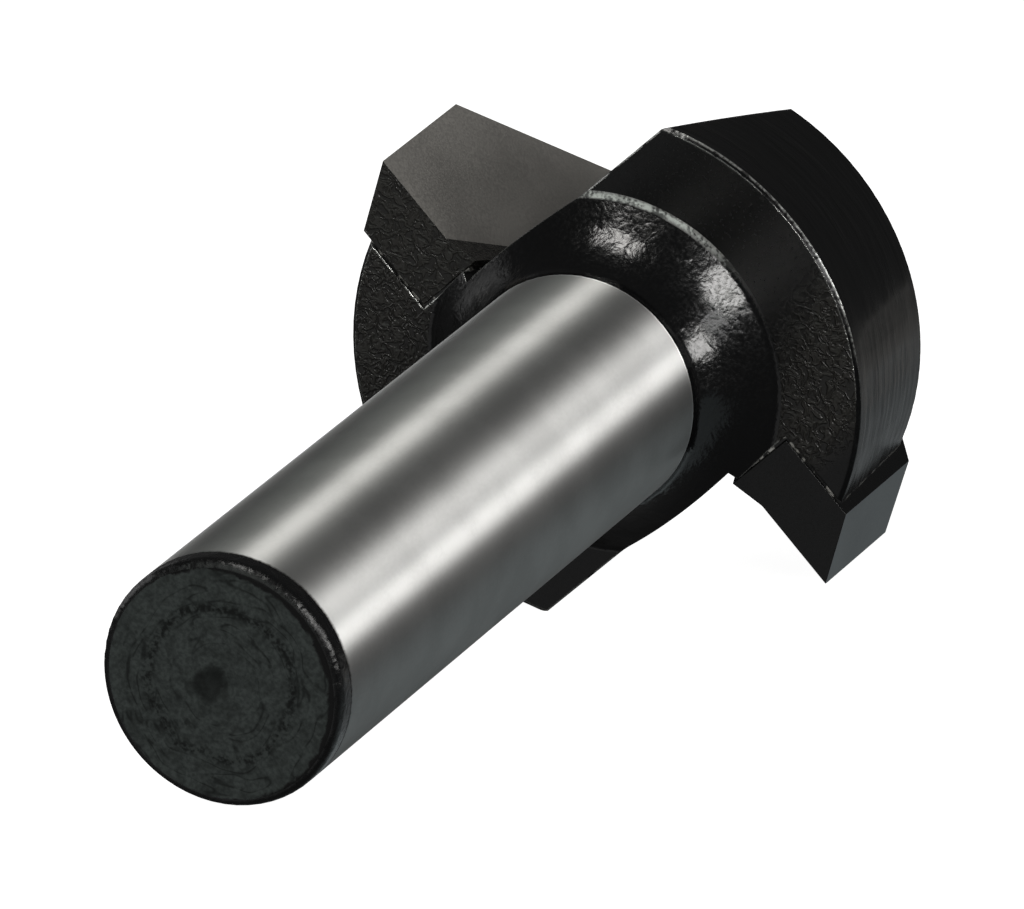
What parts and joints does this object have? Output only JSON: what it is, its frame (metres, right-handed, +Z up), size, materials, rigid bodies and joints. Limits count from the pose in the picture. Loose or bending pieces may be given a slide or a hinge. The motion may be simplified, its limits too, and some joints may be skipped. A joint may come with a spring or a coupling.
{
  "type": "v-groove router bit",
  "caption": "V-groove router bit with a round shank, a flared black neck and brazed carbide tips, lying on its side.",
  "frame": {"origin": "bottom centre of the bounding box, on the surface that the bit lies on", "axes": "+X along the bit from the shank's end towards the cutting point, level with the ground; +Z up; +Y to the left of +X"},
  "size_m": [0.046, 0.0178, 0.0164],
  "materials": {
    "steel": "fine ground satin steel on the shank and head rim, black coat on the neck and head faces",
    "carbide": "fine ground dark grey tungsten carbide",
    "solder": "bright silver solder"
  },
  "bodies": {
    "root": {"steel_body": "steel", "carbide_tip_a": "carbide", "carbide_tip_b": "carbide", "braze_seam_a": "solder", "braze_seam_b": "solder"}
  },
  "joints": []
}
